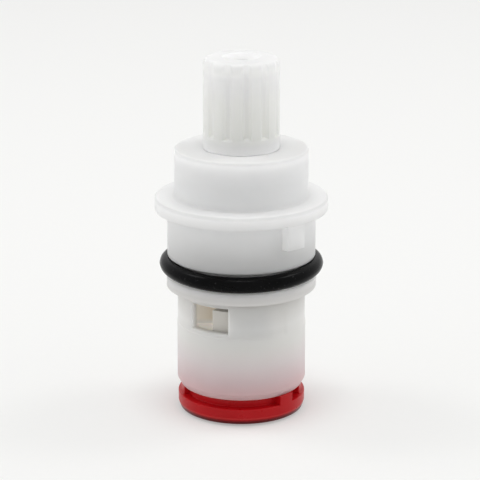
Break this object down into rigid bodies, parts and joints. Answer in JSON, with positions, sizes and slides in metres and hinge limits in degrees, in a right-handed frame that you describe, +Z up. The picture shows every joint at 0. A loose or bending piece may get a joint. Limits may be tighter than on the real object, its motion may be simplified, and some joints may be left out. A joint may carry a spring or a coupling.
{
  "type": "faucet stem",
  "caption": "Plastic quarter-turn ceramic disc faucet stem: splined spindle, flanged housing with outlet windows and O-ring, ported discs, seat seal and red retainer.",
  "frame": {"origin": "on the spindle's axis, at the foot of the seat seal", "axes": "+Z up along the spindle's axis, towards the handle; -Y is the front, as pictured"},
  "size_m": [0.026, 0.026, 0.0545],
  "materials": {
    "housing_white": "satin moulded white plastic, slightly translucent",
    "spindle_white": "satin moulded natural white plastic, slightly translucent",
    "black_rubber": "matt black nitrile rubber with a dry bloom",
    "washer_white": "smooth low-friction plastic",
    "alumina": "lapped alumina ceramic",
    "steel_ring": "turned stainless steel",
    "retainer_red": "glossy moulded red plastic"
  },
  "bodies": {
    "body": {"housing": "housing_white", "body_oring": "black_rubber", "fixed_disc": "alumina", "seat_seal": "black_rubber", "seal_support_ring": "steel_ring", "seal_retainer": "retainer_red"},
    "spindle": {"spindle": "spindle_white", "spindle_oring_upper": "black_rubber", "spindle_oring_lower": "black_rubber", "thrust_washer": "washer_white", "moving_disc": "alumina"}
  },
  "joints": [
    {"name": "spindle_turn", "type": "hinge", "parent": "body", "child": "spindle", "pos_m": [0, 0, 0.03], "axis": [0, 0, 1], "range_deg": [0, 90]}
  ]
}
